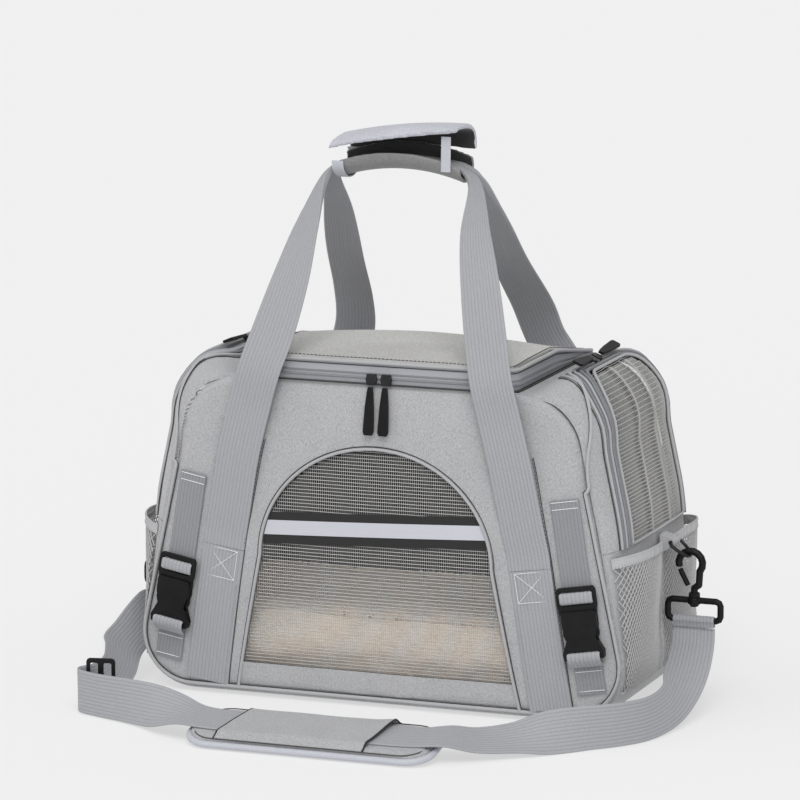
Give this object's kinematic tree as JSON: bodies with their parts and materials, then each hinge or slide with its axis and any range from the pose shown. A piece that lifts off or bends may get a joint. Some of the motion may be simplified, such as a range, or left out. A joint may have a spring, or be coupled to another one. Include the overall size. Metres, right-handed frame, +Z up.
{
  "type": "soft-sided pet carrier bag",
  "caption": "Soft-sided trapezoid pet carrier bag with mesh window, zipped mesh lid and end doors, side pockets, twin webbing handles with a padded grip wrap, and a padded shoulder strap.",
  "frame": {"origin": "centre of the base, on the surface that the bag stands on", "axes": "+Z up, the front with its arched window faces -Y, +X along the bag to the viewer's right"},
  "size_m": [0.5421, 0.4103, 0.4965],
  "materials": {
    "base_board": "stiff dark board",
    "black_metal": "black coated zinc and steel",
    "black_plastic": "satin black moulded plastic",
    "dark_piping": "dark grey piped seam",
    "fleece": "beige plush fleece",
    "grey_mesh": "open grey knitted mesh",
    "melange_fabric": "soft grey melange fabric over foam",
    "reflective_tape": "silver reflective tape with dark edges",
    "webbing": "ribbed grey webbing"
  },
  "bodies": {
    "bag": {"bottom_gusset": "melange_fabric", "front_panel": "melange_fabric", "rear_panel": "melange_fabric", "right_end_frame": "melange_fabric", "left_end_frame": "melange_fabric", "base_board": "base_board", "fleece_mat": "fleece", "window_mesh": "grey_mesh", "reflective_strip": "reflective_tape", "window_piping": "dark_piping", "body_piping": "dark_piping", "right_pocket": "grey_mesh", "left_pocket": "grey_mesh", "front_right_strap_base": "webbing", "front_left_strap_base": "webbing", "rear_right_strap_base": "webbing", "rear_left_strap_base": "webbing", "right_buckle_upper_strap": "webbing", "right_buckle_lower_strap": "webbing", "left_buckle_upper_strap": "webbing", "left_buckle_lower_strap": "webbing", "right_buckle_female": "black_plastic", "left_buckle_female": "black_plastic", "right_ring_tab": "webbing", "left_ring_tab": "webbing", "shoulder_strap": "webbing", "shoulder_pad": "melange_fabric", "strap_adjuster": "black_plastic"},
    "lid": {"lid_mesh": "grey_mesh", "lid_rim": "melange_fabric"},
    "front_handle": {"front_handle": "webbing"},
    "rear_handle": {"rear_handle": "webbing", "grip_wrap": "melange_fabric"},
    "grip_flap": {"grip_flap": "melange_fabric"},
    "lid_right_slider": {"lid_right_slider": "black_metal"},
    "lid_right_pull": {"lid_right_pull": "black_plastic"},
    "right_door": {"right_door": "grey_mesh"},
    "right_door_front_slider": {"right_door_front_slider": "black_metal"},
    "right_door_front_pull": {"right_door_front_pull": "black_plastic"},
    "right_door_rear_slider": {"right_door_rear_slider": "black_metal"},
    "right_door_rear_pull": {"right_door_rear_pull": "black_plastic"},
    "right_buckle_male": {"right_buckle_male": "black_plastic"},
    "right_ring": {"right_ring": "black_metal"},
    "right_hook": {"right_hook": "black_plastic"},
    "right_hook_gate": {"right_hook_gate": "black_plastic"},
    "right_hook_base": {"right_hook_base": "black_plastic"},
    "lid_left_slider": {"lid_left_slider": "black_metal"},
    "lid_left_pull": {"lid_left_pull": "black_plastic"},
    "left_door": {"left_door": "grey_mesh"},
    "left_door_front_slider": {"left_door_front_slider": "black_metal"},
    "left_door_front_pull": {"left_door_front_pull": "black_plastic"},
    "left_door_rear_slider": {"left_door_rear_slider": "black_metal"},
    "left_door_rear_pull": {"left_door_rear_pull": "black_plastic"},
    "left_buckle_male": {"left_buckle_male": "black_plastic"},
    "left_ring": {"left_ring": "black_metal"},
    "left_hook": {"left_hook": "black_plastic"},
    "left_hook_gate": {"left_hook_gate": "black_plastic"},
    "left_hook_base": {"left_hook_base": "black_plastic"}
  },
  "joints": [
    {"name": "lid_open", "type": "hinge", "parent": "bag", "child": "lid", "pos_m": [0, 0.1005, 0.2823], "axis": [-1, 0, 0], "range_deg": [0, 40]},
    {"name": "front_handle_swing", "type": "hinge", "parent": "bag", "child": "front_handle", "pos_m": [0, -0.1138, 0.1325], "axis": [1, 0, 0], "range_deg": [0, 95]},
    {"name": "rear_handle_swing", "type": "hinge", "parent": "bag", "child": "rear_handle", "pos_m": [0, 0.1138, 0.1325], "axis": [-1, 0, 0], "range_deg": [0, 95]},
    {"name": "grip_flap_open", "type": "hinge", "parent": "rear_handle", "child": "grip_flap", "pos_m": [-0.005, -0.0098, 0.478], "axis": [-1, 0, 0], "range_deg": [0, 100]},
    {"name": "lid_right_zip", "type": "slide", "parent": "bag", "child": "lid_right_slider", "axis": [1, 0, 0], "range_m": [0, 0.062]},
    {"name": "lid_right_pull_flip", "type": "hinge", "parent": "lid_right_slider", "child": "lid_right_pull", "pos_m": [0.0081, -0.1099, 0.2781], "axis": [-1, 0, 0], "range_deg": [0, 110]},
    {"name": "right_door_open", "type": "hinge", "parent": "bag", "child": "right_door", "pos_m": [0.2185, 0, 0.151], "axis": [0, 1, 0], "range_deg": [0, 90]},
    {"name": "right_door_front_zip", "type": "slide", "parent": "bag", "child": "right_door_front_slider", "axis": [0, -1, 0], "range_m": [0, 0.035]},
    {"name": "right_door_front_pull_flip", "type": "hinge", "parent": "right_door_front_slider", "child": "right_door_front_pull", "pos_m": [0.15861, -0.0138, 0.29817], "axis": [-0.9114, 0, 0.4114], "range_deg": [0, 100]},
    {"name": "right_door_rear_zip", "type": "slide", "parent": "bag", "child": "right_door_rear_slider", "axis": [0, 1, 0], "range_m": [0, 0.035]},
    {"name": "right_door_rear_pull_flip", "type": "hinge", "parent": "right_door_rear_slider", "child": "right_door_rear_pull", "pos_m": [0.15861, 0.0138, 0.29817], "axis": [0.9114, 0, -0.4114], "range_deg": [0, 100]},
    {"name": "right_buckle_release", "type": "slide", "parent": "bag", "child": "right_buckle_male", "axis": [-0.1521, -0.0096, 0.9883], "range_m": [0, 0.026]},
    {"name": "right_ring_swing", "type": "hinge", "parent": "bag", "child": "right_ring", "pos_m": [0.23, 0, 0.142], "axis": [0, -1, 0], "range_deg": [0, 20]},
    {"name": "right_hook_tilt", "type": "hinge", "parent": "right_ring", "child": "right_hook", "pos_m": [0.245, 0, 0.1298], "axis": [0, -1, 0], "range_deg": [0, 8]},
    {"name": "right_hook_gate_open", "type": "hinge", "parent": "right_hook", "child": "right_hook_gate", "pos_m": [0.243, 0, 0.1047], "axis": [0, 1, 0], "range_deg": [0, 20], "stiffness_Nm_per_rad": 0.05},
    {"name": "right_hook_swivel", "type": "hinge", "parent": "right_hook", "child": "right_hook_base", "pos_m": [0.249, 0, 0.0915], "axis": [0, 0, 1], "range_deg": [-25, 25]},
    {"name": "lid_left_zip", "type": "slide", "parent": "bag", "child": "lid_left_slider", "axis": [-1, 0, 0], "range_m": [0, 0.062]},
    {"name": "lid_left_pull_flip", "type": "hinge", "parent": "lid_left_slider", "child": "lid_left_pull", "pos_m": [-0.0051, -0.1099, 0.2781], "axis": [-1, 0, 0], "range_deg": [0, 110]},
    {"name": "left_door_open", "type": "hinge", "parent": "bag", "child": "left_door", "pos_m": [-0.2185, 0, 0.151], "axis": [0, -1, 0], "range_deg": [0, 90]},
    {"name": "left_door_front_zip", "type": "slide", "parent": "bag", "child": "left_door_front_slider", "axis": [0, -1, 0], "range_m": [0, 0.035]},
    {"name": "left_door_front_pull_flip", "type": "hinge", "parent": "left_door_front_slider", "child": "left_door_front_pull", "pos_m": [-0.15861, -0.0138, 0.29817], "axis": [-0.9114, 0, -0.4114], "range_deg": [0, 100]},
    {"name": "left_door_rear_zip", "type": "slide", "parent": "bag", "child": "left_door_rear_slider", "axis": [0, 1, 0], "range_m": [0, 0.035]},
    {"name": "left_door_rear_pull_flip", "type": "hinge", "parent": "left_door_rear_slider", "child": "left_door_rear_pull", "pos_m": [-0.15861, 0.0138, 0.29817], "axis": [0.9114, 0, 0.4114], "range_deg": [0, 100]},
    {"name": "left_buckle_release", "type": "slide", "parent": "bag", "child": "left_buckle_male", "axis": [0.1521, -0.0096, 0.9883], "range_m": [0, 0.026]},
    {"name": "left_ring_swing", "type": "hinge", "parent": "bag", "child": "left_ring", "pos_m": [-0.23, 0, 0.142], "axis": [0, 1, 0], "range_deg": [0, 20]},
    {"name": "left_hook_tilt", "type": "hinge", "parent": "left_ring", "child": "left_hook", "pos_m": [-0.245, 0, 0.1298], "axis": [0, 1, 0], "range_deg": [0, 8]},
    {"name": "left_hook_gate_open", "type": "hinge", "parent": "left_hook", "child": "left_hook_gate", "pos_m": [-0.243, 0, 0.1047], "axis": [0, -1, 0], "range_deg": [0, 20], "stiffness_Nm_per_rad": 0.05},
    {"name": "left_hook_swivel", "type": "hinge", "parent": "left_hook", "child": "left_hook_base", "pos_m": [-0.249, 0, 0.0915], "axis": [0, 0, 1], "range_deg": [-25, 25]}
  ]
}
